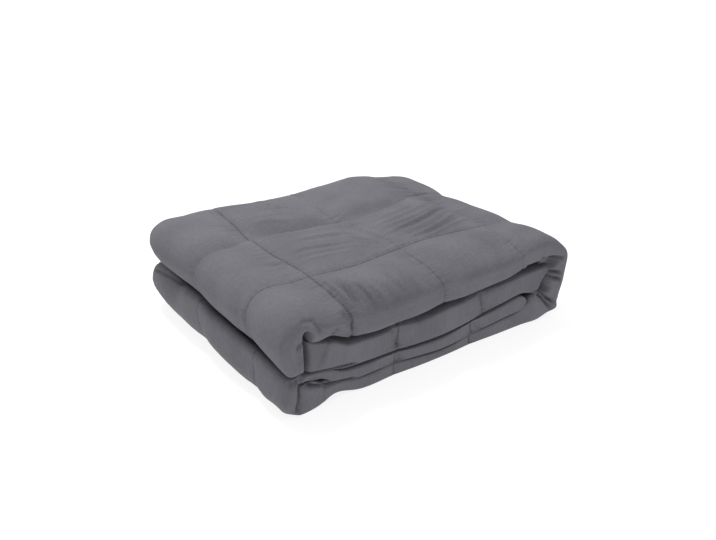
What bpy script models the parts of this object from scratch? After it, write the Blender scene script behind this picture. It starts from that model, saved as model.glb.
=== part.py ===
"""Weighted blanket, quilted in squares and folded into a stack of four layers.

The blanket is folded in thirds into a long strip, both ends of the strip are
turned in to the middle, and the strip is then closed like a book. Metres, +Z up,
origin on the surface it lies on, under the middle of the stack. The long side
of the stack runs along X and the rolled front edges face -Y.
"""
import bpy
import numpy as np

# ---------------------------------------------------------------- sizes
SQUARE = 0.127          # quilted square, seam to seam; every table below counts in squares
GAP = 0.016             # air between neighbouring layers
PUFF = 0.036            # rise of a square above its seams
DIP = 0.16              # half width of the dip along a seam
PINCH = 0.030           # how far a seam across the strip draws the front edge in
BACK_EDGE = 1.97
BACK_ROLL = 0.26        # depth of the rounding along the back edge of a layer
TURN_ROLL = 0.24        # how much deeper it runs where the strip turns
UNDERSIDE = 0.004       # cloth this close to the surface lies flat on it
LEAN = 0.15             # the upper half of the right-hand turn leans out
STEP = 0.20             # longest step between two sections of the strip
NEAR = 0.03             # least distance between two rows of points across the strip

# Seams across the strip, by the layer they lie on, and seams along it
SEAMS_ACROSS = {"second": (0.57, 1.50), "top": (0.00, 0.94, 1.87),
                "bottom": (0.55, 1.42), "third": (0.55, 1.42)}
SEAMS_ALONG = (0.00, 0.94, 1.88)

# Heights of the lines between the layers, from the floor up to the top face
LINES = ("x", "bottom_third", "third_second", "second_top", "top")
STACK = [
    (-0.25, 0.195, 0.310, 0.660, 0.930),
    (0.00, 0.145, 0.275, 0.600, 0.940),
    (0.35, 0.135, 0.255, 0.575, 0.940),
    (0.70, 0.115, 0.225, 0.560, 0.940),
    (1.05, 0.085, 0.210, 0.565, 0.940),
    (1.40, 0.100, 0.245, 0.585, 0.930),
    (1.75, 0.150, 0.295, 0.605, 0.905),
    (2.05, 0.165, 0.340, 0.615, 0.870),
    (2.20, 0.170, 0.300, 0.615, 0.870),
]

# Share of its height that the back edge loses: x, share
BACK_FALL = [(-0.45, 0.10), (-0.10, 0.06), (0.25, 0.075), (0.60, 0.145), (1.10, 0.150),
             (1.40, 0.145), (1.70, 0.100), (1.95, 0.130), (2.20, 0.200)]

# How far the gap on the left climbs: y, climb; it dies out at CLIMB_END
LEFT_CLIMB = [(-0.50, -0.050), (-0.25, -0.010), (0.00, 0.015), (0.90, 0.055), (1.75, 0.087)]

CLIMB_END = 0.6

# How far the foot of the left-hand turn tucks in: y, tuck; above FOOT it stays put
LEFT_TUCK = [(-0.06, -0.04), (1.90, 0.10)]
FOOT = dict(z=0.24, x=(-0.60, -0.10))

# Halfway along its length the right-hand turn is drawn in and sinks, wholly from x[1] on
WAIST = dict(y=0.98, width=0.78, x=(1.70, 2.30), draw=0.10, sink=0.06)

# The three turns: centre, reach in x, half height, how square the second half of the
# turn is (1 is round), and the half thickness of the cloth at its start, middle and end
TURNS = {
    "upper_left": dict(x=-0.365, z=0.704, reach=0.142, rise=0.142, full=1.0,
                       half=(0.132, 0.112, 0.108)),
    "right": dict(x=2.13, z=0.430, reach=0.295, rise=0.340, full=0.26,
                  half=(0.100, 0.150, 0.092)),
    "lower_left": dict(x=-0.420, z=0.206, reach=0.114, rise=0.112, full=1.0,
                       half=(0.094, 0.088, 0.076)),
}

# Each stretch of the strip: where its front edge reaches, how deep its rounding runs and
# how far it droops; "puff" says how much of the quilting stands out on that stretch, and
# "slip" how far the seams along the strip lie toward the back there
FRONT = {
    "second": dict(reach=-0.45, roll=0.06, droop=0.00, puff=0.0, slip=0.12),
    "upper_left": dict(reach=-0.47, roll=0.15, droop=0.05, puff=1.0, slip=0.05),
    "top": dict(reach=-0.54, roll=0.42, droop=0.08, puff=1.0, slip=0.00),
    "right": dict(reach=-0.51, roll=0.14, droop=0.02, puff=0.8, slip=0.00),
    "bottom": dict(reach=-0.44, roll=0.07, droop=0.00, puff=0.0, slip=0.05),
    "lower_left": dict(reach=-0.50, roll=0.09, droop=0.02, puff=0.7, slip=0.08),
    "third": dict(reach=-0.46, roll=0.05, droop=0.00, puff=0.0, slip=0.08),
}


# ---------------------------------------------------------------- the folded strip
def line(name, x):
    """Height of one line between the layers at x."""
    table = np.array(STACK)
    return np.interp(x, table[:, 0], table[:, LINES.index(name)])


def stops(x_from, x_to, seams):
    """Places between two ends: each seam, both sides of its dip, and even steps between."""
    fixed = [x_from, x_to]
    for seam in seams:
        fixed += [x for x in (seam - 0.7 * DIP, seam, seam + 0.7 * DIP) if x_from < x < x_to]
    fixed = sorted(fixed)
    places = []
    for a, b in zip(fixed, fixed[1:]):
        places += list(np.linspace(a, b, int(np.ceil((b - a) / STEP)) + 1)[:-1])
    return np.array(places + [x_to])


def layer(name, below, above, x_from, x_to):
    """Straight stretch between two lines: stretch name, x, centre height, half thickness."""
    x = stops(min(x_from, x_to), max(x_from, x_to), SEAMS_ACROSS[name])
    if x_from > x_to:
        x = x[::-1]
    low = line(below, x) + GAP / 2 if below else np.zeros(len(x))
    high = line(above, x) - (0 if above == "top" else GAP / 2)
    return [(name, a, (b + c) / 2, (c - b) / 2) for a, b, c in zip(x, low, high)]


def turn(name, start, side, count):
    """Half ellipse round one side, from the lower layer (start -1) or the upper (start 1)."""
    row = TURNS[name]
    angle = np.linspace(0, np.pi, count)
    half = np.interp(angle, (0, np.pi / 2, np.pi), row["half"])
    z = row["z"] + start * row["rise"] * np.cos(angle)
    full = np.where(angle < np.pi / 2, 1, row["full"])
    x = row["x"] + side * row["reach"] * np.abs(np.sin(angle)) ** full
    if side > 0:
        x = x + LEAN * np.clip(z - row["z"], 0, None)
    return [(name, a, b, c) for a, b, c in zip(x, z, half)]


def end(row, direction):
    """Rounded end of the strip: three sections closing down from the given one."""
    name, x, z, half = row
    angles = np.radians((30, 60, 80))
    return [(name, x + direction * half * np.sin(a), z, half * np.cos(a)) for a in angles]


def strip():
    """All sections along the folded strip, from one end to the other."""
    second = layer("second", "third_second", "second_top", 2.08, -0.20)
    third = layer("third", "bottom_third", "third_second", -0.20, 1.97)
    rows = end(second[0], 1)[::-1] + second
    rows += turn("upper_left", -1, -1, 9)
    rows += layer("top", "second_top", "top", -0.20, 2.00)
    rows += turn("right", 1, 1, 12)
    rows += layer("bottom", None, "bottom_third", 1.95, -0.20)
    rows += turn("lower_left", -1, -1, 9)
    return rows + third + end(third[-1], 1)


def eased(values, passes=3):
    """Values along the strip, each drawn toward its neighbours."""
    values = np.asarray(values, float)
    for _ in range(passes):
        inner = (values[:-2] + 2 * values[1:-1] + values[2:]) / 4
        values = np.concatenate((values[:1], inner, values[-1:]))
    return values


def nearest(values, seams):
    """Distance from each value to the seam next to it."""
    return np.min([np.abs(values - seam) for seam in seams], axis=0)


def rise_from(distance):
    """0 on a seam, 1 in the open square: one minus a bell curve."""
    return 1 - np.exp(-(distance / DIP) ** 2)


# ---------------------------------------------------------------- cross-section
FACE_Y = stops(0.0, BACK_EDGE - BACK_ROLL, SEAMS_ALONG[1:2])
ROUND_ANGLES = np.radians((12, 38, 66))


def ring(reach, roll, back_roll):
    """Closed cross-section: depth y of its points and their side, -1 inner face, 1 outer."""
    front_y = reach + roll * (1 - np.cos(ROUND_ANGLES))
    back_y = BACK_EDGE - back_roll * (1 - np.cos(ROUND_ANGLES))
    count = len(FACE_Y)
    room = NEAR * np.arange(count)
    face_y = np.clip(FACE_Y, reach + roll + NEAR + room, BACK_EDGE - back_roll - room[::-1])
    face_y = np.concatenate(([reach + roll], face_y))
    upper = np.concatenate((front_y, face_y, back_y[::-1]))
    edge = np.sin(ROUND_ANGLES) ** 0.75
    side = np.concatenate((edge, np.ones(len(face_y)), edge[::-1]))
    return np.concatenate((upper, upper[::-1])), np.concatenate((side, -side[::-1]))


def sections():
    """Points of the strip in squares, as sections by ring points by xyz."""
    rows = strip()
    names = [row[0] for row in rows]
    path = eased([row[1:] for row in rows], 2)
    ahead = np.gradient(path[:, :2], axis=0)
    ahead /= np.linalg.norm(ahead, axis=1)[:, None]
    ahead[:4], ahead[-4:] = (-1, 0), (1, 0)
    outward = eased(np.stack((-ahead[:, 1], ahead[:, 0]), axis=1), 2)
    outward /= np.linalg.norm(outward, axis=1)[:, None]
    front = {key: eased([FRONT[name][key] for name in names])
             for key in ("reach", "roll", "droop", "puff", "slip")}
    points = []
    for i, (name, (x, z, half)) in enumerate(zip(names, path)):
        across = nearest(x, SEAMS_ACROSS[name]) if name in SEAMS_ACROSS else 1.0
        reach = front["reach"][i] + PINCH * np.exp(-(across / DIP) ** 2)
        back_roll = BACK_ROLL + TURN_ROLL * outward[i, 0] ** 2
        y, side = ring(reach, front["roll"][i], back_roll)
        facing = -abs(outward[i, 1]) if name == "lower_left" else outward[i, 1]
        free = 1 + min(facing, 0)
        along = nearest(y - front["slip"][i], SEAMS_ALONG)
        quilt = PUFF * front["puff"][i] * free * rise_from(across) * rise_from(along)
        offset = half * side + np.where(side > 0, quilt * side, 0)
        nose = np.clip((reach + front["roll"][i] - y) / front["roll"][i], 0, 1)
        px = x + outward[i, 0] * offset
        pz = z + outward[i, 1] * offset - front["droop"][i] * nose ** 2
        points.append(np.stack((px, y, pz), axis=1))
    return np.array(points)


def settle(points):
    """The stack sinks toward the back, its left-hand gap climbs that way, and its two
    ends are drawn in where nothing inside holds them out."""
    x, y, z = points[..., 0], points[..., 1], points[..., 2]
    toward_back = np.clip((y - 0.9) / (BACK_EDGE - 0.9), 0, 1) ** 2
    z = z * (1 - np.interp(x, *np.transpose(BACK_FALL)) * toward_back)
    waist = np.exp(-((y - WAIST["y"]) / WAIST["width"]) ** 2) * np.interp(x, WAIST["x"], (0, 1))
    z = z * (1 - WAIST["sink"] * waist)
    left = np.clip(CLIMB_END - x, 0, 1)
    z = z + np.interp(y, *np.transpose(LEFT_CLIMB)) * left * np.sin(np.pi * np.clip(z, 0, 1))
    foot = np.clip(1 - z / FOOT["z"], 0, 1) * np.interp(x, FOOT["x"], (1, 0))
    x = x - WAIST["draw"] * waist + np.interp(y, *np.transpose(LEFT_TUCK)) * foot
    return np.stack((x, y, np.where(z < UNDERSIDE, 0, z)), axis=-1)


# ---------------------------------------------------------------- mesh
def blanket_mesh():
    """One closed body: the rings joined along the strip, its two ends closed across."""
    points = settle(sections())
    count, size = points.shape[:2]
    verts = points.reshape(-1, 3) * SQUARE
    verts[:, :2] -= (verts[:, :2].min(axis=0) + verts[:, :2].max(axis=0)) / 2
    faces = []
    for i in range(count - 1):
        for j in range(size):
            a, b = i * size + j, i * size + (j + 1) % size
            faces.append((a, a + size, b + size, b))
    for first, flip in ((0, True), ((count - 1) * size, False)):
        for j in range(size // 2 - 1):
            quad = [first + j, first + size - 1 - j, first + size - 2 - j, first + j + 1]
            faces.append(tuple(quad[::-1] if flip else quad))
    mesh = bpy.data.meshes.new("blanket")
    mesh.from_pydata(verts.tolist(), [], faces)
    mesh.shade_smooth()
    return mesh


def cotton():
    material = bpy.data.materials.new("grey_cotton")
    material.use_nodes = True
    shader = material.node_tree.nodes["Principled BSDF"]
    shader.inputs["Base Color"].default_value = (0.168, 0.162, 0.188, 1)
    shader.inputs["Roughness"].default_value = 0.9
    material.diffuse_color = (0.168, 0.162, 0.188, 1)
    return material


for item in list(bpy.data.objects):
    bpy.data.objects.remove(item, do_unlink=True)

group = bpy.data.collections.new("weighted_blanket")
bpy.context.scene.collection.children.link(group)
blanket = bpy.data.objects.new("blanket", blanket_mesh())
blanket.data.materials.append(cotton())
group.objects.link(blanket)
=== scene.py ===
import math
import bpy
import numpy as np
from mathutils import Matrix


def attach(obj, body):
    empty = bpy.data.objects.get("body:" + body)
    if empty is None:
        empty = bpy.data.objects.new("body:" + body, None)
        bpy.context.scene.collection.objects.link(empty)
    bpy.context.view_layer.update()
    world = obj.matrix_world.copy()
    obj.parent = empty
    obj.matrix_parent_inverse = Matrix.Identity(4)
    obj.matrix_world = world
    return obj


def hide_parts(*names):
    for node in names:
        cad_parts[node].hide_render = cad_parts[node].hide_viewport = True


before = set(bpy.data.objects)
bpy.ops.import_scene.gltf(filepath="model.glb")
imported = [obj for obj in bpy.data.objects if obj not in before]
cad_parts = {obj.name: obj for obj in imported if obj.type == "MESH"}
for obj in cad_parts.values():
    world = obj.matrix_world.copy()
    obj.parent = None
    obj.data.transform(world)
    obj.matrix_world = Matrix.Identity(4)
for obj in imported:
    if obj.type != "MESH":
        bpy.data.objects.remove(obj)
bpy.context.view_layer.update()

# ---------------------------------------------------------------- the folded strip
# The blanket is a grey cotton cover quilted in squares round glass beads and wadding.
# It is folded in thirds into a strip, and the strip's ends are turned in and closed
# like a book. Sizes count in quilted squares; the origin is the crossing of two seams.
SQUARE = 0.127  # metres, the side of one quilted square
GAP = 0.016  # between two layers
LEAN = 0.15  # of the right-hand turn, sideways for each square of height
FINE = 0.01  # spacing along the strip while its path is worked out
# Heights of the lines between the layers, at nine places along x
LINES = ("x", "bottom_third", "third_second", "second_top", "top")
STACK = np.array([
    (-0.25, 0.195, 0.310, 0.660, 0.930),
    (0.00, 0.145, 0.275, 0.600, 0.940),
    (0.35, 0.135, 0.255, 0.575, 0.940),
    (0.70, 0.115, 0.225, 0.560, 0.940),
    (1.05, 0.085, 0.210, 0.565, 0.940),
    (1.40, 0.100, 0.245, 0.585, 0.930),
    (1.75, 0.150, 0.295, 0.605, 0.905),
    (2.05, 0.165, 0.340, 0.615, 0.870),
    (2.20, 0.170, 0.300, 0.615, 0.870),
])
# The turns that join the layers: middle, half width and half height, how full the first
# and the second half bulge, half the thickness at the start, middle and end
TURNS = {
    "upper_left": dict(x=-0.365, z=0.704, reach=0.142, rise=0.142, full=(0.72, 1.0),
                       half=(0.132, 0.112, 0.108)),
    "right": dict(x=2.13, z=0.430, reach=0.295, rise=0.340, full=(1.0, 0.26),
                  half=(0.100, 0.150, 0.092)),
    "lower_left": dict(x=-0.420, z=0.206, reach=0.114, rise=0.112, full=(1.0, 0.72),
                       half=(0.094, 0.088, 0.076)),
}
# Stretches in the order the strip runs: where the front edge reaches, how deep it is
# rounded above and below, how square it is, how far it droops, how much the quilting
# stands out, how far its lengthwise seams have slipped, the step between sections
STRETCHES = {
    # reach, roll, low, square, droop, puff, slip, step
    "second": (-0.450, 0.06, 0.04, 5.0, 0.00, 0.0, 0.12, 0.0250),
    "upper_left": (-0.505, 0.08, 0.08, 3.0, 0.03, 1.0, 0.05, 0.0165),
    "top": (-0.540, 0.42, 0.12, 2.6, 0.05, 1.0, 0.00, 0.0175),
    "right": (-0.510, 0.12, 0.08, 3.0, 0.02, 0.8, 0.00, 0.0150),
    "bottom": (-0.445, 0.04, 0.05, 4.0, 0.00, 0.0, 0.05, 0.0250),
    "lower_left": (-0.500, 0.09, 0.06, 3.2, 0.02, 1.2, -0.05, 0.0175),
    "third": (-0.455, 0.03, 0.03, 4.0, 0.00, 0.0, -0.05, 0.0250),
}


def layer(below, above, x_from, x_to):
    """Straight stretch: centre is the mean of the lines below and above it, half
    thickness is half their distance less the gap."""
    x = np.linspace(x_from, x_to, int(abs(x_to - x_from) / FINE))
    low = np.interp(x, STACK[:, 0], STACK[:, LINES.index(below)]) + GAP / 2 if below else 0 * x
    high = np.interp(x, STACK[:, 0], STACK[:, LINES.index(above)])
    high = high - (0 if above == "top" else GAP / 2)
    return np.stack((x, (low + high) / 2, (high - low) / 2))


def turn(name, start, side):
    """Half ellipse: x = centre + side * reach * sin(a) ** full, z = centre + start *
    rise * cos(a), for a from 0 to pi, leaning with height on the right."""
    row = TURNS[name]
    angle = np.linspace(0, np.pi, 90)
    full = np.where(angle < np.pi / 2, *row["full"])
    z = row["z"] + start * row["rise"] * np.cos(angle)
    x = row["x"] + side * row["reach"] * np.abs(np.sin(angle)) ** full
    if side > 0:
        x = x + LEAN * (z - row["z"]).clip(0)
    return np.stack((x, z, np.interp(angle, (0, np.pi / 2, np.pi), row["half"])))


def softened(values, width):
    """Running mean with a bell-shaped weight, the ends held."""
    reach = int(3 * width / FINE)
    bell = np.exp(-0.5 * (np.arange(-reach, reach + 1) * FINE / width) ** 2)
    padded = np.pad(values, [(0, 0)] * (values.ndim - 1) + [(reach, reach)], mode="edge")
    return np.apply_along_axis(np.convolve, -1, padded, bell / bell.sum(), "valid")


runs = {
    "second": layer("third_second", "second_top", 2.24, -0.20),
    "upper_left": turn("upper_left", -1, -1),
    "top": layer("second_top", "top", -0.20, 2.00),
    "right": turn("right", 1, 1),
    "bottom": layer(None, "bottom_third", 1.95, -0.20),
    "lower_left": turn("lower_left", -1, -1),
    "third": layer("bottom_third", "third_second", -0.20, 2.05),
}
names = list(runs)
raw = np.concatenate([runs[name] for name in names], axis=1)
which = np.concatenate([np.full(runs[name].shape[1], i) for i, name in enumerate(names)])
length = np.concatenate(([0], np.cumsum(np.hypot(*np.diff(raw[:2], axis=1)))))
even = np.arange(0, length[-1], FINE)
path = softened(np.array([np.interp(even, length, row) for row in raw]), 0.055)
which = which[np.searchsorted(length, even).clip(0, len(which) - 1)]
traits = np.array([STRETCHES[name] for name in names])[which].T
step = softened(traits[-1], 0.05)
traits = softened(traits[:-1], 0.09)


def along(name, x):
    """Distance along the strip at which a stretch passes x."""
    inside = np.flatnonzero(which == names.index(name))
    return even[inside[np.argmin(np.abs(path[0][inside] - x))]]


def crowded(depth, sections):
    """Distances from a rounded end, depth * (1 - cos(a)), closer together toward it."""
    return depth * (1 - np.cos(np.linspace(0.02, 1.5, sections)))


# sections close together where the cloth shows, and closer still at the rounded ends
HEAD, TAIL = 0.14, 0.08
count = np.cumsum(FINE / step)
stations = np.interp(np.arange(0, count[-1], 1.0), count, even)
stations = stations[(stations > HEAD) & (stations < even[-1] - TAIL - FINE)]
stations = np.concatenate((crowded(0.13, 8), stations, even[-1] - crowded(0.075, 7)[::-1]))
x, z, half = (np.interp(stations, even, row) for row in path)
ahead = np.stack([np.interp(stations, even, np.gradient(row)) for row in path[:2]])
ahead /= np.hypot(*ahead)
ends = np.minimum(stations / HEAD, (even[-1] - stations) / TAIL).clip(0, 1)
half = half * np.sqrt(1 - (1 - ends) ** 2)
outward = np.stack((-ahead[1], ahead[0]))
reach, roll, low, square, droop, puff, slip = (np.interp(stations, even, row)[:, None] for row in traits)
part_of = which[np.clip((stations / FINE).astype(int), 0, len(which) - 1)]

# ---------------------------------------------------------------- the strip's cross-section
# Each section is a closed ring: the rolled front edge, the outer face, the back edge
# and the inner face, which lies against the next layer and never shows.
BACK_EDGE = 1.97
BACK_ROLL = 0.26  # how deep the back edge is rounded
TURN_ROLL = 0.24  # and how much deeper where the strip turns
LIP = -0.455  # where the underside of a rolled edge begins to droop
FLAT = 0.75  # how square the thickness is along the back edge, 1 for a half circle
FRONT_STEPS, FACE_STEPS, BACK_STEPS, INNER_STEPS = 46, 104, 10, 10

# y round the ring, and the height within the thickness as side, from -1 to 1. The front
# edge is a superellipse of angle a: y = reach + depth * (1 - cos(a) ** (2 / square))
front = np.linspace(-np.pi / 2, np.pi / 2, FRONT_STEPS + 1)[:-1]
back = np.linspace(np.pi / 2, -np.pi / 2, BACK_STEPS + 1)[:-1]
face = np.linspace(0, 1, FACE_STEPS + 1)[:-1]
inner = np.linspace(1, 0, INNER_STEPS + 1)[:-1]
back_roll = BACK_ROLL + TURN_ROLL * outward[0][:, None] ** 2
near, far = reach + roll, BACK_EDGE - back_roll
depth = np.where(front > 0, roll, low)
y = np.concatenate((reach + depth * (1 - np.cos(front).clip(0) ** (2 / square)),
                    near + (far - near) * face,
                    BACK_EDGE - back_roll * (1 - np.cos(back)),
                    reach + low + (far - reach - low) * inner), axis=1)
angle = np.concatenate((front, np.full(FACE_STEPS, np.pi / 2), back, np.full(INNER_STEPS, -np.pi / 2)))
column = np.arange(y.shape[1])
on_front = column < FRONT_STEPS
on_back = (column >= FRONT_STEPS + FACE_STEPS) & (column < FRONT_STEPS + FACE_STEPS + BACK_STEPS)
side = np.sign(np.sin(angle)) * np.abs(np.sin(angle)) ** np.where(on_front, 2 / square, FLAT)

# cloth coordinates: u runs along the strip from the seam at x = 0, v across it from
# y = 0. Round a rolled edge it follows the cloth, which is longer than y shows
WRAP = 0.8
u = np.repeat((stations - along("top", 0.0))[:, None], y.shape[1], axis=1)
front_wrap, back_wrap = WRAP * (roll + half[:, None]), WRAP * (back_roll + half[:, None])
v = np.where(on_front, near - front_wrap * (1 - angle / (np.pi / 2)), y)
v = np.where(on_back, far + back_wrap * (1 - angle / (np.pi / 2)), v)

# ---------------------------------------------------------------- quilting
# Straight seams sew the two faces together in squares. Filling lifts each square, and
# the thread gathers the cloth into a narrow groove with short puckers on both sides.
PITCH = 0.94  # from seam to seam, as the filling draws each square in a little
PUFF = 0.036  # how high a square swells
DIP = 0.16  # how far from a seam it reaches that height
GROOVE = dict(depth=0.016, width=0.022)  # where the thread pulls the cloth down
GATHER = dict(height=0.005, length=0.075, fade=0.07, clear=0.02)  # wrinkles beside it
# Seams across the strip: their u at seven places along v, and how far the thread shows
# there. The last one runs along the lower fold and slips up into the gap above it.
WANDER_V = (-0.60, -0.20, 0.20, 0.60, 1.00, 1.40, 1.80)
ACROSS = {
    "left": (0.06, -0.01, 0.01, -0.04, -0.02, 0.03, 0.09),
    "middle": (1.03, 0.94, 0.95, 0.87, 0.86, 0.90, 0.96),
    "right": (1.97, 1.91, 2.04, 2.02, 2.03, 2.02, 2.05),
    "fold": (6.30, 6.30, 6.30, 6.25, 6.12, 6.06, 6.03),
}
ACROSS_SHOWN = (
    (1.0, 1.0, 1.0, 0.9, 0.9, 0.9, 0.7),
    (0.5, 0.6, 0.2, 0.0, 0.4, 0.9, 0.9),
    (0.3, 0.2, 0.2, 0.1, 0.3, 0.4, 0.3),
    (0.1, 0.1, 0.1, 0.3, 0.9, 1.0, 1.0),
)
# Seams along the strip: their v at ten places along u, and how far the thread shows
WANDER_U = (-0.60, -0.30, 0.00, 0.40, 0.80, 1.20, 1.70, 2.10, 2.60, 5.80)
ALONG = {
    "front": (0.04, 0.07, 0.06, 0.00, 0.03, 0.06, 0.04, 0.08, 0.08, 0.06),
    "back": (0.92, 0.94, 1.03, 0.84, 0.78, 0.77, 0.92, 1.06, 1.00, 0.98),
}
ALONG_SHOWN = (
    (0.4, 0.7, 0.7, 1.0, 1.0, 0.7, 0.9, 0.2, 0.5, 1.0),
    (0.2, 0.2, 0.2, 0.7, 0.3, 0.2, 0.7, 0.8, 0.8, 0.8),
)
# Seams of the inner layers, by the x where each lies, and one on the right-hand wall
HIDDEN_ACROSS = [along(name, at) - along("top", 0.0) for name, at in (
    ("second", 1.54), ("second", 0.60), ("bottom", 1.42), ("bottom", 0.55), ("third", 0.55),
    ("third", 1.42))] + [2.93]
HIDDEN_ALONG = [-PITCH, 2 * PITCH]


def wandering(at, stops, places):
    """Place of a seam that swerves between its stops, eased at each."""
    fine = np.arange(min(stops) - 0.5, max(stops) + 0.5, 0.0125)
    bell = np.exp(-0.5 * np.linspace(-2.5, 2.5, 41) ** 2)
    bent = np.pad(np.interp(fine, stops, places), len(bell) // 2, mode="edge")
    return np.interp(at, fine, np.convolve(bent, bell / bell.sum(), "valid"))


def closest(candidates):
    """The signed distance that is smallest in size, and its number."""
    stack = np.stack(candidates)
    number = np.abs(stack).argmin(axis=0)
    return np.take_along_axis(stack, number[None], axis=0)[0], number


def ripple(a, b, length, seed):
    """Sum of plane cosine waves of about one length, with seeded headings and phases."""
    waves = 14
    rng = np.random.default_rng(seed)
    total = np.zeros(np.broadcast(a, b).shape)
    for _ in range(waves):
        heading = rng.uniform(-np.pi, np.pi)
        k = 2 * np.pi / (length * rng.uniform(0.7, 1.5))
        total += np.cos(k * (a * math.cos(heading) + b * math.sin(heading)) + rng.uniform(0, 7))
    return total / math.sqrt(waves)


# the nearest seam each way, with its sign, and how far its thread shows there
slipped = v - slip
seams_across = [wandering(v, WANDER_V, row) for row in ACROSS.values()]
seams_along = [wandering(u, WANDER_U, row) for row in ALONG.values()]
across, across_seam = closest([u - seam for seam in seams_across + HIDDEN_ACROSS])
lengthwise, along_seam = closest([slipped - seam for seam in seams_along + HIDDEN_ALONG])
thread_across = [wandering(v, WANDER_V, row) for row in ACROSS_SHOWN] + [0.8] * len(HIDDEN_ACROSS)
thread_along = [wandering(u, WANDER_U, row) for row in ALONG_SHOWN] + [0.7] * len(HIDDEN_ALONG)
shown = (np.choose(across_seam, thread_across), np.choose(along_seam, thread_along))

# quilting stands out on the faces that lie open, and less where the stack's own weight
# presses the cloth to the floor
facing = np.where(part_of == names.index("lower_left"), -np.abs(outward[1]), outward[1])
press = (1 + facing.clip(None, 0))[:, None]
seen = np.isin(which, [names.index(name) for name in ("upper_left", "top", "right", "lower_left")])
bare = np.interp(stations, even, softened(seen.astype(float), 0.05))[:, None]
open_face = (angle > 0) * np.abs(side) * bare * press
open_front = np.maximum(np.cos(angle) * on_front, open_face)

swelling = (1 - np.exp(-(across / DIP) ** 2)) * (1 - np.exp(-(lengthwise / DIP) ** 2))
relief = PUFF * puff * open_face * swelling
for signed, sewn, other, seed in ((across, shown[0], v, 3), (lengthwise, shown[1], u, 4)):
    distance = np.abs(signed)
    relief -= GROOVE["depth"] * sewn * open_front * np.exp(-(distance / GROOVE["width"]) ** 2)
    gather = ripple(other, 0.4 * signed, GATHER["length"], seed) * np.exp(-distance / GATHER["fade"])
    gather *= 1 - np.exp(-(distance / GATHER["clear"]) ** 2)
    relief += GATHER["height"] * sewn * open_front * gather

# Beside some stretches of a seam the cloth drops to it or stands up in a sharp lip:
# height times a peaked bell of the distance, with its own width before and behind
LIPS = (
    # distance, nearest seam, which seam, what it runs along, from, to, offset of the peak,
    # width before it and behind it, height
    (lengthwise, along_seam, 1, u, 0.02, 1.02, -0.010, 0.020, 0.120, -0.075),
    (lengthwise, along_seam, 1, u, 0.10, 0.98, -0.050, 0.040, 0.020, 0.030),
    (lengthwise, along_seam, 1, u, 1.00, 1.95, 0.000, 0.020, 0.090, -0.045),
    (lengthwise, along_seam, 1, u, 1.00, 1.90, -0.040, 0.030, 0.020, 0.022),
    (lengthwise, along_seam, 1, u, -0.60, 0.04, 0.000, 0.020, 0.080, -0.020),
    (across, across_seam, 1, v, 0.04, 0.80, 0.000, 0.025, 0.025, 0.034),
    (across, across_seam, 1, v, 1.02, 1.80, 0.000, 0.020, 0.110, -0.040),
    (across, across_seam, 1, v, 1.05, 1.80, -0.045, 0.040, 0.025, 0.024),
    (lengthwise, along_seam, 0, u, -0.75, -0.40, 0.030, 0.030, 0.030, 0.016),
)
for signed, seam, number, run, start, stop, offset, before, behind, height in LIPS:
    window = np.sin(np.pi * ((run - start) / (stop - start)).clip(0, 1)) ** 0.5
    d = signed - offset
    bell = np.exp(-np.abs(d) / np.where(d < 0, before, behind))
    relief += height * open_face * window * (seam == number) * bell


def squares_passed(at, seams):
    """Number of quilted squares passed, running evenly from one seam to the next."""
    stack = [np.broadcast_to(seam, at.shape) for seam in seams]
    stack = [stack[0] - PITCH] + stack + [stack[-1] + PITCH]
    return sum(((at - low) / (high - low)).clip(0, 1) for low, high in zip(stack, stack[1:]))


squares_u = squares_passed(u, sorted(seams_across + HIDDEN_ACROSS, key=np.mean))
squares_v = squares_passed(slipped, [HIDDEN_ALONG[0], *seams_along, HIDDEN_ALONG[1]])

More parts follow.
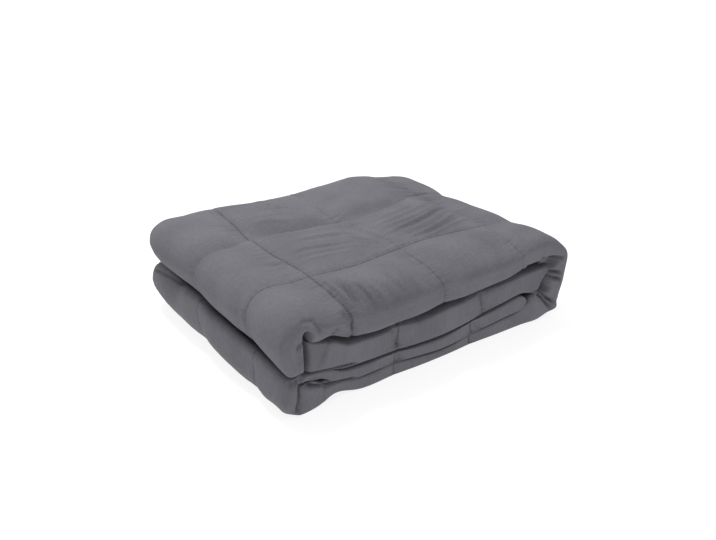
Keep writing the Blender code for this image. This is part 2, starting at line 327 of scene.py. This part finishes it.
# ---------------------------------------------------------------- creases
# A weighted filling drags the cloth: soft folds fan out from the seam crossings, short
# ones stand on the front edges, and the cloth is pleated where the strip turns.
CREASES = (
    # u, v at one end and the other, bow, width, height
    # the long drag lines of the square right of the middle
    (0.97, 0.60, 1.62, 0.74, -0.03, 0.018, 0.014),
    (1.00, 0.50, 1.78, 0.68, -0.04, 0.014, 0.019),
    (1.00, 0.42, 1.70, 0.60, -0.05, 0.014, 0.013),
    (0.98, 0.32, 1.95, 0.61, -0.07, 0.016, 0.032),
    (1.08, 0.24, 1.90, 0.50, -0.06, 0.014, 0.016),
    (1.10, 0.15, 1.92, 0.39, -0.06, 0.016, 0.026),
    (1.14, 0.08, 1.98, 0.27, -0.04, 0.016, 0.019),
    (1.02, 0.55, 1.72, 0.72, -0.04, 0.020, -0.013),
    (1.03, 0.46, 1.85, 0.66, -0.06, 0.020, -0.013),
    (1.03, 0.37, 1.90, 0.63, -0.06, 0.022, -0.016),
    (1.06, 0.28, 1.92, 0.54, -0.06, 0.020, -0.019),
    (1.12, 0.19, 1.92, 0.44, -0.06, 0.018, -0.014),
    (1.16, 0.11, 1.98, 0.33, -0.05, 0.018, -0.016),
    # the square left of it: folds fan out from the crossing on its right
    (0.93, 0.17, 0.62, 0.60, 0.03, 0.014, 0.018),
    (0.91, 0.14, 0.56, 0.47, 0.02, 0.013, 0.016),
    (0.89, 0.11, 0.50, 0.33, 0.01, 0.013, 0.013),
    (0.93, 0.22, 0.72, 0.62, 0.02, 0.012, -0.011),
    (0.90, 0.16, 0.58, 0.54, 0.02, 0.012, -0.013),
    (0.88, 0.13, 0.52, 0.40, 0.02, 0.012, -0.011),
    (0.10, 0.67, 0.84, 0.52, 0.01, 0.020, 0.016),
    (0.04, 0.50, 0.60, 0.35, 0.01, 0.018, 0.016),
    (0.06, 0.40, 0.56, 0.28, 0.00, 0.016, 0.011),
    (0.06, 0.30, 0.56, 0.20, 0.00, 0.018, 0.014),
    (0.27, 0.60, 0.86, 0.46, 0.00, 0.018, -0.014),
    (0.08, 0.45, 0.70, 0.31, 0.00, 0.016, -0.013),
    (0.08, 0.35, 0.60, 0.24, 0.00, 0.016, -0.011),
    # the one over the left-hand fold
    (-0.34, 0.44, 0.05, 0.41, 0.00, 0.018, 0.016),
    (-0.36, 0.31, 0.04, 0.30, 0.00, 0.018, 0.014),
    (-0.28, 0.62, 0.02, 0.65, 0.00, 0.018, 0.014),
    (-0.32, 0.53, 0.00, 0.52, 0.00, 0.016, -0.013),
    (-0.30, 0.37, 0.00, 0.36, 0.00, 0.014, -0.011),
    (-0.24, 0.20, 0.00, 0.16, 0.00, 0.016, 0.011),
    # the trough along the second lengthwise seam, with a ridge before it
    (-0.12, 1.16, 0.95, 0.88, -0.06, 0.120, -0.050),
    (0.70, 0.84, 1.75, 1.00, -0.05, 0.070, -0.022),
    (0.02, 0.93, 0.98, 0.68, -0.05, 0.055, 0.026),
    (-0.55, 0.96, 0.02, 1.00, -0.02, 0.050, -0.022),
    # the back squares
    (0.10, 1.36, 0.62, 1.18, 0.00, 0.018, 0.012),
    (0.16, 1.46, 0.70, 1.30, 0.01, 0.016, -0.011),
    (0.20, 1.56, 0.74, 1.44, 0.01, 0.016, 0.011),
    (0.14, 1.68, 0.60, 1.62, 0.00, 0.016, -0.010),
    (0.34, 1.74, 0.80, 1.66, 0.00, 0.018, 0.010),
    (-0.30, 1.40, 0.00, 1.34, 0.00, 0.020, 0.008),
    (-0.26, 1.22, 0.00, 1.20, 0.00, 0.018, -0.008),
    (0.15, 1.24, 0.48, 1.08, 0.00, 0.035, 0.019),
    (0.47, 1.62, 0.56, 1.36, 0.00, 0.030, 0.016),
    (1.12, 1.75, 1.06, 1.05, 0.00, 0.100, -0.042),
    (0.80, 1.75, 0.84, 1.08, 0.00, 0.070, 0.022),
    (0.02, 1.75, -0.04, 1.10, 0.00, 0.070, -0.016),
    # gathers along the right-hand seam, where the cloth goes over the end
    (1.70, 0.70, 2.20, 0.76, 0.00, 0.016, 0.016),
    (1.74, 0.80, 2.22, 0.83, 0.01, 0.014, -0.019),
    (1.72, 0.88, 2.24, 0.90, 0.01, 0.016, 0.019),
    (1.70, 1.00, 2.26, 0.98, 0.01, 0.014, -0.021),
    (1.66, 1.10, 2.24, 1.06, 0.00, 0.016, 0.021),
    (1.64, 1.19, 2.26, 1.14, 0.01, 0.014, -0.019),
    (1.66, 1.28, 2.22, 1.22, 0.00, 0.016, 0.019),
    (1.68, 1.38, 2.20, 1.34, 0.01, 0.014, -0.019),
    (1.70, 1.48, 2.20, 1.42, 0.00, 0.016, 0.016),
    (1.82, 0.60, 2.24, 0.62, 0.00, 0.014, -0.013),
    (1.86, 0.46, 2.24, 0.50, 0.00, 0.016, 0.013),
    (1.84, 0.36, 2.20, 0.38, 0.00, 0.014, -0.011),
    # short folds standing on the front edge
    (0.05, -0.06, 0.07, -0.64, 0.00, 0.022, 0.048),
    (0.08, -0.14, 0.15, -0.48, 0.01, 0.016, -0.054),
    (0.12, -0.10, 0.24, -0.50, 0.02, 0.015, 0.050),
    (0.16, -0.16, 0.27, -0.52, 0.02, 0.013, -0.036),
    (0.21, -0.16, 0.32, -0.56, 0.02, 0.015, 0.040),
    (0.26, -0.20, 0.36, -0.54, 0.01, 0.014, -0.022),
    (0.33, -0.22, 0.40, -0.54, 0.01, 0.016, 0.026),
    (0.39, -0.22, 0.45, -0.50, 0.00, 0.015, -0.018),
    (0.45, -0.24, 0.50, -0.56, 0.01, 0.016, 0.032),
    (0.52, -0.20, 0.57, -0.50, 0.01, 0.016, -0.021),
    (0.58, -0.26, 0.62, -0.54, 0.00, 0.016, 0.024),
    (0.65, -0.26, 0.67, -0.56, 0.00, 0.016, -0.016),
    (0.71, -0.22, 0.73, -0.56, 0.00, 0.018, 0.039),
    (0.78, -0.24, 0.80, -0.54, 0.00, 0.016, -0.010),
    (0.85, -0.28, 0.87, -0.54, 0.00, 0.016, 0.018),
    (1.05, -0.26, 1.08, -0.62, 0.00, 0.024, 0.018),
    (1.18, -0.26, 1.16, -0.58, 0.00, 0.018, -0.012),
    (1.30, -0.26, 1.27, -0.56, 0.00, 0.018, -0.013),
    (1.37, -0.30, 1.34, -0.56, 0.00, 0.016, 0.009),
    (1.46, -0.26, 1.42, -0.56, 0.00, 0.018, 0.013),
    (1.57, -0.22, 1.48, -0.54, 0.00, 0.016, -0.015),
    (1.66, -0.24, 1.58, -0.54, 0.00, 0.016, 0.010),
    (1.74, -0.22, 1.66, -0.54, 0.00, 0.016, -0.012),
    (1.86, -0.22, 1.76, -0.56, 0.00, 0.018, 0.013),
    (1.97, -0.22, 1.88, -0.56, 0.00, 0.016, -0.012),
    (2.10, -0.26, 2.06, -0.62, 0.00, 0.018, -0.012),
    (2.22, -0.30, 2.20, -0.64, 0.00, 0.020, 0.012),
    # broad hollows beside the seams on the front half, and a swelling between them
    (0.46, -0.53, 1.06, -0.52, 0.00, 0.090, 0.022),
    (-0.24, 0.00, -0.02, -0.34, 0.00, 0.090, -0.035),
    (1.20, -0.30, 1.92, -0.30, 0.00, 0.110, -0.030),
)


def bowed(a, b, row):
    """Soft ridge or trough on a bowed line: height times a bell of the distance from the
    line, fading to nothing at both ends."""
    a0, b0, a1, b1, bow, width, height = row
    span = math.hypot(a1 - a0, b1 - b0)
    t = (((a - a0) * (a1 - a0) + (b - b0) * (b1 - b0)) / span ** 2).clip(0, 1)
    d = ((b - b0) * (a1 - a0) - (a - a0) * (b1 - b0)) / span - 4 * bow * t * (1 - t)
    return height * np.sin(np.pi * t) ** 0.7 * np.exp(-(d / width) ** 2)


UNEVEN = 0.003  # the filling lies a little unevenly everywhere
for row in CREASES:
    relief += open_face * bowed(u, v, row)
relief += UNEVEN * open_front * ripple(u, v, 0.45, 5)

# The front edge is drawn in at each seam across the strip, and its nose droops
PINCH = 0.030
y = y + PINCH * np.exp(-(across / DIP) ** 2) * np.where(on_front, np.cos(angle), 0)
nose = ((near - y) / roll).clip(0, 1) ** 2
nose = np.where(angle > 0, nose, ((LIP - y) / (LIP - reach).clip(0.02)).clip(0, 1))
normal = np.stack((np.broadcast_to(outward[0][:, None] * np.sin(angle), y.shape),
                   np.broadcast_to(-np.cos(angle) * on_front, y.shape),
                   np.broadcast_to(outward[1][:, None] * np.sin(angle), y.shape)))
px = x[:, None] + outward[0][:, None] * half[:, None] * side + normal[0] * relief
py = y + normal[1] * relief
pz = z[:, None] + outward[1][:, None] * half[:, None] * side - droop * nose + normal[2] * relief

# ---------------------------------------------------------------- the stack settles
# It sinks toward the back, its left-hand gap climbs that way, its two ends are drawn in
# where nothing inside holds them out, and its lower left foot tucks under.
FALL_FROM = 0.9
# by how much of its height the stack falls at the back, and how far the gap climbs
BACK_FALL = ((-0.45, -0.10, 0.25, 0.60, 1.10, 1.40, 1.70, 1.95, 2.20),
             (0.100, 0.060, 0.075, 0.145, 0.150, 0.145, 0.100, 0.130, 0.200))
WAIST = dict(y=0.98, width=0.78, x=1.7, length=0.6, draw=0.10, sink=0.06)
LEFT_END = 0.6
LEFT_CLIMB = ((-0.50, -0.25, 0.00, 0.90, 1.75), (-0.050, -0.010, 0.015, 0.055, 0.087))
FOOT = dict(height=0.24, x=-0.1, length=0.5, y=0.5, width=1.4, tuck=0.10)
toward_back = ((py - FALL_FROM) / (BACK_EDGE - FALL_FROM)).clip(0, 1) ** 2
pz = pz * (1 - np.interp(px, *BACK_FALL) * toward_back)
waist = np.exp(-((py - WAIST["y"]) / WAIST["width"]) ** 2)
waist = waist * ((px - WAIST["x"]) / WAIST["length"]).clip(0, 1)
pz = pz * (1 - WAIST["sink"] * waist)
left = (LEFT_END - px).clip(0, 1)
pz = pz + np.interp(py, *LEFT_CLIMB) * left * np.sin(np.pi * pz.clip(0, 1))
foot = (1 - pz / FOOT["height"]).clip(0, 1) * ((FOOT["x"] - px) / FOOT["length"]).clip(0, 1)
foot = foot * ((py - FOOT["y"]) / FOOT["width"]).clip(-0.4, 1)
px = px - WAIST["draw"] * waist + FOOT["tuck"] * foot

# ---------------------------------------------------------------- the front, pressed
# The front shows the layers' edges. The cloth there is drawn, pressed flat and creased:
# first whole places are shifted, then the two folds are shut, then the creases follow.
FRONT = -0.12  # behind this y the shifts of the front alone have faded out
FADE = 0.25  # over this length
SHIFTS = (
    # stretches, x and z of the middle, radius, how far back, shift in x, y and z
    (("top", "upper_left"), -0.42, 0.80, 0.10, FRONT, 0.00, 0.00, 0.030),
    (("top", "upper_left"), -0.16, 0.64, 0.13, FRONT, 0.00, 0.00, 0.080),
    (("second",), -0.16, 0.64, 0.15, FRONT, 0.00, 0.00, 0.070),
    (("upper_left",), -0.58, 0.47, 0.12, 1.20, 0.00, 0.00, -0.045),
    (("lower_left",), -0.54, 0.36, 0.10, 1.40, -0.05, 0.00, 0.045),
    (("lower_left",), -0.56, 0.40, 0.17, 1.00, 0.00, 0.00, -0.040),
    (("lower_left",), -0.56, 0.43, 0.19, 2.40, 0.00, 0.00, 0.080),
    (("upper_left",), -0.60, 0.50, 0.16, 2.40, 0.00, 0.00, -0.020),
    (("lower_left",), -0.43, 0.45, 0.10, 1.60, 0.00, 0.00, -0.070),
    (("upper_left",), -0.43, 0.45, 0.10, 1.60, 0.00, 0.00, 0.050),
    (("second", "upper_left", "third"), -0.17, 0.32, 0.15, FRONT, 0.00, 0.00, 0.035),
    (("third", "bottom", "lower_left"), -0.25, 0.22, 0.15, FRONT, 0.00, 0.00, 0.045),
    (("upper_left", "second"), -0.26, 0.38, 0.12, FRONT, 0.00, 0.00, 0.045),
    (("lower_left", "bottom"), -0.58, 0.08, 0.15, FRONT, 0.02, 0.00, 0.000),
    (("lower_left", "bottom"), -0.46, 0.00, 0.12, FRONT, 0.00, -0.03, 0.000),
    (("lower_left",), -0.52, 0.04, 0.11, FRONT, 0.00, 0.06, 0.000),
    (("lower_left", "third", "bottom"), -0.42, 0.25, 0.10, FRONT, 0.00, 0.00, 0.090),
    (("lower_left", "bottom"), -0.34, 0.18, 0.10, FRONT, 0.00, 0.00, 0.070),
    (("third", "bottom"), -0.22, 0.25, 0.10, FRONT, 0.00, 0.00, 0.030),
    (("bottom", "lower_left"), -0.08, 0.03, 0.18, FRONT, 0.00, 0.00, 0.065),
    (("second",), 2.25, 0.58, 0.13, FRONT, 0.19, 0.00, 0.000),
    (("second",), 2.36, 0.56, 0.10, FRONT, 0.06, 0.00, 0.000),
    (("second",), 2.17, 0.34, 0.10, FRONT, 0.05, 0.00, -0.040),
    (("third",), 2.12, 0.27, 0.14, FRONT, 0.10, 0.00, 0.000),
    (("right", "bottom"), 2.26, 0.20, 0.11, FRONT, -0.13, 0.00, 0.080),
    (("bottom", "right"), 2.12, 0.16, 0.10, FRONT, 0.00, 0.00, 0.050),
    (("top", "right"), 2.50, 0.86, 0.34, 2.60, 0.00, 0.00, -0.026),
    (("right",), 2.58, 0.62, 0.10, FRONT, 0.02, 0.00, 0.020),
    (("right",), 2.56, 0.42, 0.16, FRONT, -0.045, 0.00, 0.000),
    (("right",), 2.54, 0.26, 0.10, FRONT, -0.020, 0.00, 0.000),
    (("right", "bottom"), 2.36, 0.00, 0.14, FRONT, 0.00, 0.00, 0.030),
    (("right", "bottom"), 2.46, 0.04, 0.08, FRONT, 0.04, -0.04, -0.020),
)
edge = np.clip(np.cos(angle), 0, 1) * on_front
parts = {name: (part_of == names.index(name))[:, None] for name in names}


def eased(t):
    """Smooth step from 0 to 1."""
    t = np.clip(t, 0, 1)
    return t * t * (3 - 2 * t)


for stretches, at_x, at_z, radius, back_to, *shift in SHIFTS:
    here = sum(parts[name] for name in stretches) * eased((back_to - py) / FADE)
    here = here * np.exp(-((px - at_x) ** 2 + (pz - at_z) ** 2) / radius ** 2)
    px, py, pz = px + shift[0] * here, py + shift[1] * here, pz + shift[2] * here

# The two left-hand folds are shut: the cloth inside a line of x and z is pressed to a
# plane, behind the standing edge of the fold
SHUT_Y = -0.455
SOFT = 0.03  # over which a pressed place begins
LEFT_SHUT = {
    # corner, then x and z of the line
    "upper_left": (-0.425, (-0.42, -0.36, -0.28, -0.14, 0.07), (0.83, 0.79, 0.75, 0.73, 0.62)),
    "lower_left": (-0.458, (-0.47, -0.30, 0.10), (0.335, 0.30, 0.18)),
}
for name, (corner, line_x, line_z) in LEFT_SHUT.items():
    inside = eased((px - corner) / 0.025) * eased((np.interp(px, line_x, line_z) - pz) / SOFT)
    py += (SHUT_Y - py).clip(0) * inside * parts[name] * on_front

# The right-hand turn is pressed in beside the second layer's rolled end, up to this line
# of z and x
POCKET_Y = -0.42
POCKET_Z = (0.28, 0.66)
POCKET = ((0.28, 0.32, 0.36, 0.44, 0.49, 0.52, 0.57, 0.64),
          (2.16, 2.19, 2.22, 2.21, 2.24, 2.31, 2.40, 2.42))
inside = eased((np.interp(pz, *POCKET) - px) / SOFT)
inside = inside * eased((pz - POCKET_Z[0]) / 0.04) * eased((POCKET_Z[1] - pz) / SOFT)
py += (POCKET_Y - py).clip(0) * inside * parts["right"] * on_front

# The top layer's rolled edge stands off from the layer below along this line of x and z,
# and a deep shadowed groove runs a little under it
EDGE_LINE = ((-0.42, -0.38, -0.26, -0.10, 0.05, 0.34, 0.81, 1.13, 1.72, 2.30),
             (0.79, 0.765, 0.725, 0.690, 0.610, 0.597, 0.577, 0.599, 0.625, 0.635))
UNDER_IT = ((-0.30, 0.00, 1.20, 1.60, 2.00), (0.036, 0.054, 0.054, 0.060, 0.034))
SLOT = dict(depth=0.40, width=0.044, end=2.46, fade=0.16)
below = np.interp(px, *EDGE_LINE) - pz
slot = np.exp(-((below - np.interp(px, *UNDER_IT)) / SLOT["width"]) ** 4)
slot = slot * eased((SLOT["end"] - px) / SLOT["fade"])
corner = parts["upper_left"] * eased((px + 0.43) / SOFT) * eased((below + 0.01) / SOFT)
py += SLOT["depth"] * edge * slot * (parts["second"] + corner)

# Creases and seam ends on the front, by the stretches that they lie in
FRONT_CREASES = {
    # x, z at one end and the other, width, depth
    ("upper_left", "second", "top"): (
        (-0.410, 0.84, -0.385, 0.38, 0.024, 0.160),
        (-0.42, 0.86, -0.30, 0.75, 0.030, -0.025),
        (-0.46, 0.905, -0.34, 0.885, 0.012, 0.020),
        (-0.36, 0.90, -0.29, 0.77, 0.012, 0.022),
        (-0.51, 0.67, -0.43, 0.72, 0.012, 0.022),
        (-0.44, 0.73, -0.51, 0.67, 0.014, 0.016),
        (-0.455, 0.76, -0.450, 0.50, 0.016, -0.010),
        (-0.475, 0.72, -0.470, 0.46, 0.012, 0.008),
        (-0.17, 0.70, -0.10, 0.76, 0.020, 0.024),
        (-0.04, 0.84, 0.06, 0.66, 0.020, 0.020),
        (-0.36, 0.47, -0.33, 0.38, 0.016, 0.012),
        (0.50, 0.60, 0.58, 0.26, 0.020, 0.030),
        (1.49, 0.58, 1.57, 0.36, 0.020, 0.026)),
    ("upper_left", "second", "third", "lower_left"): (
        (-0.47, 0.385, -0.20, 0.338, 0.012, 0.060),
        (-0.28, 0.352, 0.16, 0.282, 0.012, 0.040)),
    ("lower_left", "bottom", "third"): (
        (0.57, 0.29, 0.61, 0.12, 0.018, 0.024),
        (1.38, 0.30, 1.57, 0.10, 0.020, 0.020),
        (-0.470, 0.34, -0.480, 0.02, 0.018, 0.050),
        (-0.49, 0.305, -0.31, 0.242, 0.018, 0.060),
        (-0.37, 0.254, -0.12, 0.178, 0.015, 0.060),
        (-0.20, 0.195, 0.14, 0.150, 0.012, 0.040),
        (-0.445, 0.30, -0.445, 0.04, 0.012, -0.008),
        (-0.42, 0.345, -0.50, 0.355, 0.018, 0.040),
        (-0.48, 0.36, -0.56, 0.335, 0.018, 0.034),
        (-0.54, 0.34, -0.59, 0.375, 0.016, 0.024)),
    ("right",): (
        (2.29, 0.54, 2.39, 0.565, 0.016, 0.020),
        (2.285, 0.58, 2.255, 0.28, 0.040, 0.220),
        (2.23, 0.53, 2.46, 0.46, 0.014, 0.070),
        (2.23, 0.50, 2.47, 0.38, 0.012, 0.060),
        (2.22, 0.47, 2.42, 0.36, 0.012, -0.020),
        (2.20, 0.42, 2.34, 0.30, 0.022, 0.045),
        (2.21, 0.33, 2.42, 0.13, 0.012, 0.060),
        (2.19, 0.31, 2.40, 0.07, 0.012, 0.060),
        (2.18, 0.68, 2.34, 0.655, 0.018, 0.035),
        (2.31, 0.66, 2.48, 0.61, 0.016, 0.040)),
}


def crease(a, b, row):
    """Soft trough or ridge on a line: height times a bell of the distance from the line,
    fading to nothing at both ends."""
    a0, b0, a1, b1, width, height = row
    span = math.hypot(a1 - a0, b1 - b0)
    t = ((a - a0) * (a1 - a0) + (b - b0) * (b1 - b0)) / span ** 2
    d = ((b - b0) * (a1 - a0) - (a - a0) * (b1 - b0)) / span
    return height * eased(6 * t) * eased(6 - 6 * t) * np.exp(-(d / width) ** 2)


for stretches, rows in FRONT_CREASES.items():
    here = np.sqrt(edge) * sum(parts[name] for name in stretches)
    for row in rows:
        py += here * crease(px, pz, row)

# ---------------------------------------------------------------- the sewn cover
# The cover is one closed skin of cotton: rings of points along the strip joined by
# quads, its two ends closed by fans. UV maps carry the quilting and the cloth's own metres.
CENTRE = (0.96934, 0.71675)  # middle of the stack, over the frame's origin
points = np.stack((px, py, pz.clip(0)), axis=-1)
points[..., :2] -= CENTRE
points *= SQUARE

rows, cols = points.shape[:2]
grid = np.arange(rows * cols).reshape(rows, cols)
beside = np.roll(grid, -1, axis=1)
quads = np.stack((grid[:-1], grid[1:], beside[1:], beside[:-1]), axis=-1).reshape(-1, 4)
fans = [np.stack((ring, np.roll(ring, -way), np.full(cols, middle)), axis=-1)
        for ring, way, middle in ((grid[0], 1, rows * cols), (grid[-1], -1, rows * cols + 1))]
middles = np.stack((points[0].mean(axis=0), points[-1].mean(axis=0)))
vertices = np.concatenate((points.reshape(-1, 3), middles))
mesh = bpy.data.meshes.new("blanket_quilted")
mesh.from_pydata(vertices, [], quads.tolist() + np.concatenate(fans).tolist())
mesh.shade_smooth()
corners = np.empty(len(mesh.loops), dtype=np.int32)
mesh.loops.foreach_get("vertex_index", corners)
MAPS = {"squares": (squares_u, squares_v), "cloth": (u * SQUARE, v * SQUARE), "shown": shown}
for name, pair in MAPS.items():
    flat = np.stack([np.append(values, values[[0, -1], :].mean(axis=1)) for values in pair], axis=-1)
    mesh.uv_layers.new(name=name).data.foreach_set("uv", flat[corners].ravel())
blanket = bpy.data.objects.new("blanket_quilted", mesh)
bpy.context.scene.collection.objects.link(blanket)


def linear(code):
    """sRGB hex to linear colour."""
    value = np.array([int(code[i:i + 2], 16) for i in (1, 3, 5)]) / 255
    return (*np.where(value < 0.04045, value / 12.92, ((value + 0.055) / 1.055) ** 2.4), 1)


# Brushed cotton, plain woven and dyed grey: matt and slightly mottled, with a dry nap
# that takes the shine off. The thread sinks into each seam as a fine dark dashed line.
COTTON = "#6A696F"
SEWN_MM = 120.0  # from seam to seam
THREAD_MM = 1.5  # the line that the thread and its needle holes leave
STITCH = 0.0045  # metres, half as long again as real stitches, to show at all
PUCKER_MM = 9.0  # short wrinkles across a seam have faded out within 20 mm of it
MATH = "ShaderNodeMath"
PATTERNS = {
    # size in mm, detail, stretch along and across the strip
    "breaks": (14.0, 2.0, (1, 1, 1)),
    "puckers_across": (10.5, 3.0, (0.25, 1.6, 1)),
    "puckers_along": (10.5, 3.0, (1.6, 0.25, 1)),
    # threads of the weave, about six times as coarse as real ones, to show as a faint grain
    "warp": (2.4, 1.0, (1, 0.2, 1)),
    "weft": (2.4, 1.0, (0.2, 1, 1)),
    "clouds": (45.0, 3.0, (1, 1, 1)),
    "nap": (3.3, 2.0, (1, 1, 1)),
}
cotton = bpy.data.materials.new("brushed_cotton")
cotton.use_nodes = True
tree = cotton.node_tree
shader = tree.nodes["Principled BSDF"]


def add(kind, inputs, **settings):
    """Node of the cotton with its settings, its inputs set to values or linked. A node
    given as an input stands for its first output."""
    node = tree.nodes.new(kind)
    for key, value in settings.items():
        setattr(node, key, value)
    for key, value in inputs.items():
        if isinstance(value, bpy.types.Node):
            value = value.outputs[0]
        if isinstance(value, bpy.types.NodeSocket):
            tree.links.new(value, node.inputs[key])
        else:
            node.inputs[key].default_value = value
    return node


uv = {name: add("ShaderNodeUVMap", {}, uv_map=name) for name in MAPS}
axes = {name: add("ShaderNodeSeparateXYZ", {0: node}).outputs for name, node in uv.items()}
pattern = {}
for name, (size, detail, stretch) in PATTERNS.items():
    place = add("ShaderNodeVectorMath", {0: uv["cloth"], 1: stretch}, operation="MULTIPLY")
    pattern[name] = add("ShaderNodeTexNoise", {"Vector": place, "Scale": 1000 / size, "Detail": detail},
                        noise_dimensions="2D")

lines, puckers = [], []
for way, name in enumerate(("puckers_across", "puckers_along")):
    off = add(MATH, {0: axes["squares"][way], 1: 0.5}, operation="PINGPONG")
    distance = add(MATH, {0: off, 1: SEWN_MM}, operation="MULTIPLY")
    off = add(MATH, {0: distance, 1: THREAD_MM}, operation="DIVIDE")
    line = add(MATH, {0: 1.0, 1: off}, operation="SUBTRACT", use_clamp=True)
    phase = add(MATH, {0: axes["cloth"][1 - way], 1: 2 * math.pi / STITCH}, operation="MULTIPLY")
    dash = add(MATH, {0: phase}, operation="SINE")
    dash = add(MATH, {0: dash, 1: 0.15, 2: 0.85}, operation="MULTIPLY_ADD")
    line = add(MATH, {0: line, 1: dash}, operation="MULTIPLY")
    lines.append(add(MATH, {0: line, 1: axes["shown"][way]}, operation="MULTIPLY"))
    off = add(MATH, {0: distance, 1: -PUCKER_MM}, operation="DIVIDE")
    fade = add(MATH, {0: off}, operation="EXPONENT")
    wrinkle = add(MATH, {0: pattern[name], 1: 0.5}, operation="SUBTRACT")
    puckers.append(add(MATH, {0: wrinkle, 1: fade}, operation="MULTIPLY"))
thread = add(MATH, {0: lines[0], 1: lines[1]}, operation="MAXIMUM")
breaks = add(MATH, {0: pattern["breaks"], 1: 1.6, 2: 0.1}, operation="MULTIPLY_ADD")
thread = add(MATH, {0: thread, 1: breaks}, operation="MULTIPLY")

# colour: mottled by a tenth or so either way, and darker by up to half on the thread
nap = add(MATH, {0: pattern["nap"], 1: 0.4}, operation="MULTIPLY")
mottle = add(MATH, {0: pattern["clouds"], 1: 0.6, 2: nap}, operation="MULTIPLY_ADD")
mottle = add(MATH, {0: mottle, 1: 0.5}, operation="SUBTRACT")
mottle = add(MATH, {0: mottle, 1: 0.60, 2: 1.0}, operation="MULTIPLY_ADD")
darker = add(MATH, {0: thread, 1: -0.50, 2: 1.0}, operation="MULTIPLY_ADD")
shade = add(MATH, {0: mottle, 1: darker}, operation="MULTIPLY")
colour = add("ShaderNodeVectorMath", {0: linear(COTTON)[:3], "Scale": shade}, operation="SCALE")
tree.links.new(colour.outputs[0], shader.inputs["Base Color"])

# height in metres: puckers, the grain of the weave, and the thread sunk in its groove
height = add(MATH, {0: puckers[0], 1: puckers[1]}, operation="ADD")
height = add(MATH, {0: height, 1: 0.0032}, operation="MULTIPLY")
weave = add(MATH, {0: pattern["warp"], 1: pattern["weft"]}, operation="ADD")
height = add(MATH, {0: weave, 1: 0.0003, 2: height}, operation="MULTIPLY_ADD")
height = add(MATH, {0: thread, 1: -0.0006, 2: height}, operation="MULTIPLY_ADD")
bump = add("ShaderNodeBump", {"Height": height, "Distance": 1.0, "Strength": 1.0})
tree.links.new(bump.outputs[0], shader.inputs["Normal"])
shader.inputs["Roughness"].default_value = 0.92
shader.inputs["Specular IOR Level"].default_value = 0.25
mesh.materials.append(cotton)

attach(blanket, "root")
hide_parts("blanket")

# ---------------------------------------------------------------- floor, light, camera
# A large sheet of white paper, lit from beneath so that it stays white under the blanket's
# faint shadow, in a white tent with one soft box overhead, a little behind the stack.
REACH = 4.0
floor_mesh = bpy.data.meshes.new("floor")
floor_mesh.from_pydata([(-REACH, -REACH, 0), (REACH, -REACH, 0), (REACH, REACH, 0), (-REACH, REACH, 0)],
                       [], [(0, 1, 2, 3)])
floor = bpy.data.objects.new("floor", floor_mesh)
bpy.context.scene.collection.objects.link(floor)
paper = bpy.data.materials.new("lit_white_paper")
paper.use_nodes = True
sheet = paper.node_tree.nodes["Principled BSDF"].inputs
sheet["Base Color"].default_value = linear("#9A9A9A")
sheet["Roughness"].default_value = 0.9
sheet["Emission Color"].default_value = linear("#FFFFFF")
sheet["Emission Strength"].default_value = 0.81
floor_mesh.materials.append(paper)

bpy.context.scene.view_settings.view_transform = "Standard"
world = bpy.data.worlds.new("white_tent")
bpy.context.scene.world = world
world.use_nodes = True
world.node_tree.nodes["Background"].inputs["Color"].default_value = linear("#FFFFFF")
world.node_tree.nodes["Background"].inputs["Strength"].default_value = 0.66

LAMP_AT = np.array((-0.15, 0.45, 1.5))
LAMP_AIM = np.array((0, 0, 0.05)) - LAMP_AT
lamp = bpy.data.lights.new("overhead", "AREA")
lamp.size = 0.4
lamp.energy = 15
light = bpy.data.objects.new("overhead", lamp)
light.location = LAMP_AT
light.rotation_euler = (math.atan2(math.hypot(LAMP_AIM[0], LAMP_AIM[1]), -LAMP_AIM[2]), 0,
                        math.atan2(LAMP_AIM[0], -LAMP_AIM[1]) + math.pi)
bpy.context.scene.collection.objects.link(light)

# Focal length 1100 pixels for a render 716 pixels wide; the camera's place in squares
CAMERA_AT = np.array((-4.49115 - CENTRE[0], -6.77025 - CENTRE[1], 5.20419))
camera_data = bpy.data.cameras.new("camera")
camera_data.sensor_width = 36
camera_data.lens = 36 * 1100 / 716
camera = bpy.data.objects.new("camera", camera_data)
camera.location = CAMERA_AT * SQUARE
camera.rotation_euler = (math.pi / 2 - 0.475891, 0, -0.631952)
bpy.context.scene.collection.objects.link(camera)
bpy.context.scene.camera = camera
